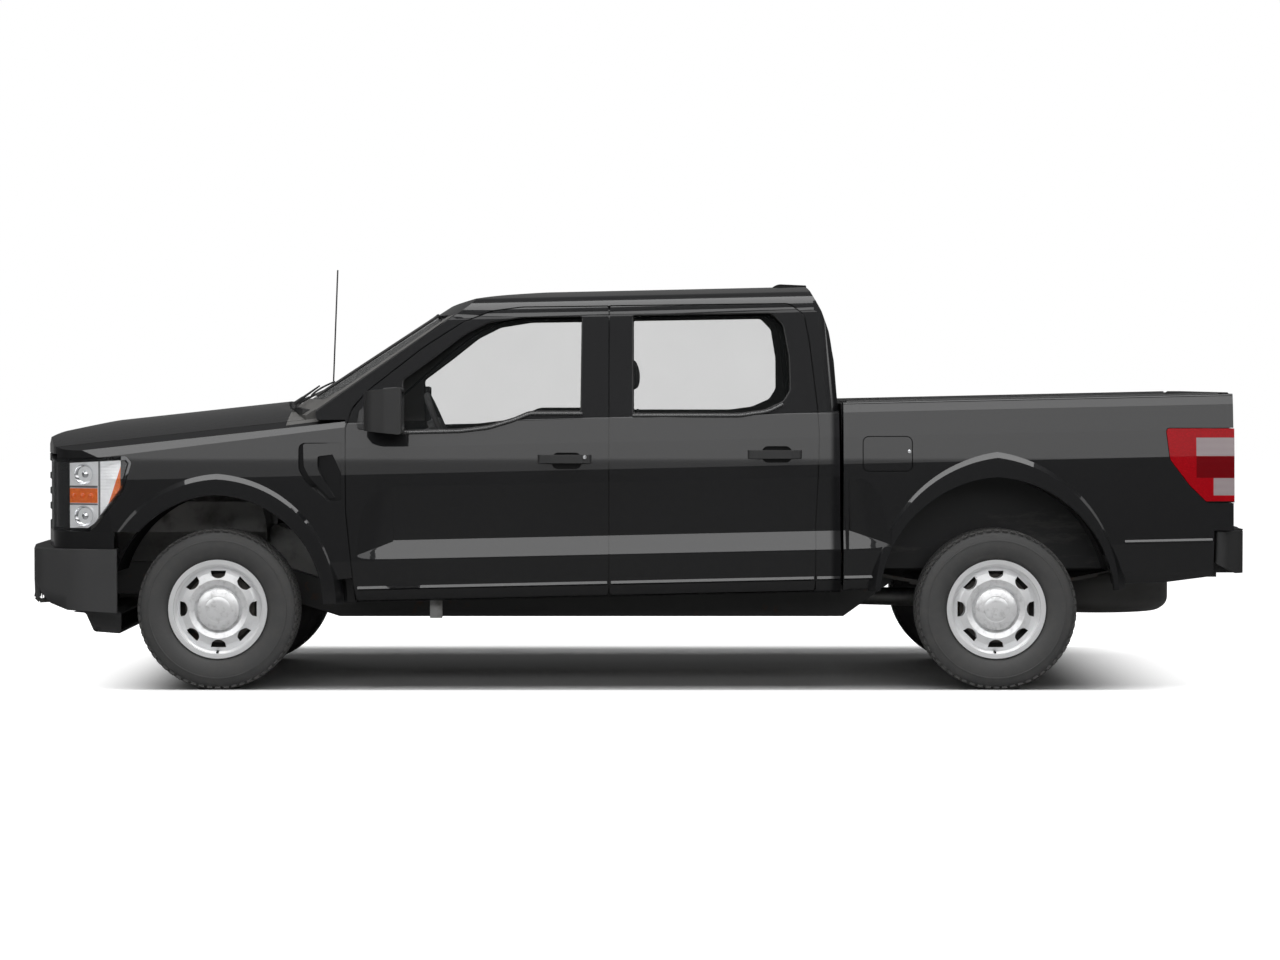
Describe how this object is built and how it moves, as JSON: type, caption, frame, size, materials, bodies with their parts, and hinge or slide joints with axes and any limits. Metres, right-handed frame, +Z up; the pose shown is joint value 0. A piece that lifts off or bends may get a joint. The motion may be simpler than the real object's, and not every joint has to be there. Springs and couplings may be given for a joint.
{
  "type": "pickup truck",
  "caption": "Full-size crew-cab pickup truck with opening doors, bonnet, tailgate and fuel flap, steered front wheels and an open cargo bed.",
  "frame": {"origin": "on the ground, at the middle of the overall length and width", "axes": "+X rearwards along the length, +Y to the vehicle's right, +Z up"},
  "size_m": [5.885, 2.4294, 2.0454],
  "materials": {
    "body_paint": "dark charcoal metallic, glossy",
    "black_plastic": "textured black",
    "gloss_black": "smooth black",
    "clear_glass": "lightly tinted",
    "lamp_clear": "clear lens over chrome bowls",
    "lamp_red": "red lens",
    "wheel_steel": "silver painted steel",
    "tyre_rubber": "black rubber",
    "frame_black": "black chassis paint",
    "cast_metal": "bare cast metal",
    "engine_metal": "cast aluminium",
    "exhaust_steel": "dull steel",
    "interior_cloth": "grey cloth",
    "interior_plastic": "dark grey",
    "liner_plastic": "rough black"
  },
  "bodies": {
    "chassis": {"ladder_frame": "frame_black", "cab_shell": "body_paint", "fixed_glass": "clear_glass", "front_fenders": "body_paint", "fender_vents": "gloss_black", "front_fascia": "body_paint", "grille": "gloss_black", "headlamps": "lamp_clear", "cowl": "black_plastic", "front_bumper": "black_plastic", "bedsides": "body_paint", "rear_lamps": "lamp_red", "cargo_box": "body_paint", "rear_bumper": "black_plastic", "rear_axle": "frame_black", "suspension": "cast_metal", "engine": "engine_metal", "driveline": "engine_metal", "exhaust": "exhaust_steel", "fuel_tank": "liner_plastic", "wheel_liners": "liner_plastic", "seats": "interior_cloth", "dashboard": "interior_plastic", "radiator": "engine_metal", "spare_wheel": "tyre_rubber", "antenna": "gloss_black"},
    "hood": {"hood": "body_paint"},
    "front_door_left": {"front_door_left": "body_paint", "front_door_glass_left": "clear_glass", "front_door_fittings_left": "black_plastic"},
    "front_door_right": {"front_door_right": "body_paint", "front_door_glass_right": "clear_glass", "front_door_fittings_right": "black_plastic"},
    "rear_door_left": {"rear_door_left": "body_paint", "rear_door_glass_left": "clear_glass", "rear_door_fittings_left": "black_plastic"},
    "rear_door_right": {"rear_door_right": "body_paint", "rear_door_glass_right": "clear_glass", "rear_door_fittings_right": "black_plastic"},
    "tailgate": {"tailgate": "body_paint", "tailgate_handle": "black_plastic"},
    "fuel_flap": {"fuel_flap": "body_paint"},
    "steering_wheel": {"steering_wheel": "interior_plastic"},
    "steering_rack": {"steering_rack": "exhaust_steel"},
    "knuckle_left": {"knuckle_left": "cast_metal"},
    "knuckle_right": {"knuckle_right": "cast_metal"},
    "wheel_front_left": {"tyre_front_left": "tyre_rubber", "rim_front_left": "wheel_steel"},
    "wheel_front_right": {"tyre_front_right": "tyre_rubber", "rim_front_right": "wheel_steel"},
    "wheel_rear_left": {"tyre_rear_left": "tyre_rubber", "rim_rear_left": "wheel_steel"},
    "wheel_rear_right": {"tyre_rear_right": "tyre_rubber", "rim_rear_right": "wheel_steel"}
  },
  "joints": [
    {"name": "hood_hinge", "type": "hinge", "parent": "chassis", "child": "hood", "pos_m": [-1.56, 0, 1.36], "axis": [0, 1, 0], "range_deg": [0, 50]},
    {"name": "tailgate_hinge", "type": "hinge", "parent": "chassis", "child": "tailgate", "pos_m": [2.806, 0, 0.86], "axis": [0, 1, 0], "range_deg": [0, 90]},
    {"name": "fuel_flap_hinge", "type": "hinge", "parent": "chassis", "child": "fuel_flap", "pos_m": [1.079, -0.989, 1.12], "axis": [0, 0, -1], "range_deg": [0, 80]},
    {"name": "front_door_hinge_left", "type": "hinge", "parent": "chassis", "child": "front_door_left", "pos_m": [-1.372, -1.003, 1], "axis": [0, 0, -1], "range_deg": [0, 65]},
    {"name": "rear_door_hinge_left", "type": "hinge", "parent": "chassis", "child": "rear_door_left", "pos_m": [-0.124, -1.003, 1], "axis": [0, 0, -1], "range_deg": [0, 65]},
    {"name": "front_door_hinge_right", "type": "hinge", "parent": "chassis", "child": "front_door_right", "pos_m": [-1.372, 1.003, 1], "axis": [0, 0, 1], "range_deg": [0, 65]},
    {"name": "rear_door_hinge_right", "type": "hinge", "parent": "chassis", "child": "rear_door_right", "pos_m": [-0.124, 1.003, 1], "axis": [0, 0, 1], "range_deg": [0, 65]},
    {"name": "steer_left", "type": "hinge", "parent": "chassis", "child": "knuckle_left", "pos_m": [-1.9825, -0.8, 0.382], "axis": [0, 0, 1], "range_deg": [-32, 32]},
    {"name": "steer_right", "type": "hinge", "parent": "chassis", "child": "knuckle_right", "pos_m": [-1.9825, 0.8, 0.382], "axis": [0, 0, 1], "range_deg": [-33, 33]},
    {"name": "rack_slide", "type": "slide", "parent": "chassis", "child": "steering_rack", "axis": [0, 1, 0], "range_m": [-0.06, 0.06]},
    {"name": "steering_wheel_turn", "type": "hinge", "parent": "chassis", "child": "steering_wheel", "pos_m": [-0.99575, -0.4, 1.20279], "axis": [0.922, 0, 0.3872], "range_deg": [-520, 520]},
    {"name": "wheel_front_left_spin", "type": "hinge", "parent": "knuckle_left", "child": "wheel_front_left", "pos_m": [-1.9825, -0.8625, 0.382], "axis": [0, 1, 0], "continuous": true},
    {"name": "wheel_rear_left_spin", "type": "hinge", "parent": "chassis", "child": "wheel_rear_left", "pos_m": [1.7115, -0.8675, 0.382], "axis": [0, 1, 0], "continuous": true},
    {"name": "wheel_front_right_spin", "type": "hinge", "parent": "knuckle_right", "child": "wheel_front_right", "pos_m": [-1.9825, 0.8625, 0.382], "axis": [0, 1, 0], "continuous": true},
    {"name": "wheel_rear_right_spin", "type": "hinge", "parent": "chassis", "child": "wheel_rear_right", "pos_m": [1.7115, 0.8675, 0.382], "axis": [0, 1, 0], "continuous": true}
  ],
  "couplings": [
    {"joint": "steer_right", "follows": "steer_left", "ratio": 1},
    {"joint": "rack_slide", "follows": "steer_left", "m_per_rad": 0.095},
    {"joint": "steering_wheel_turn", "follows": "steer_left", "ratio": 16}
  ]
}
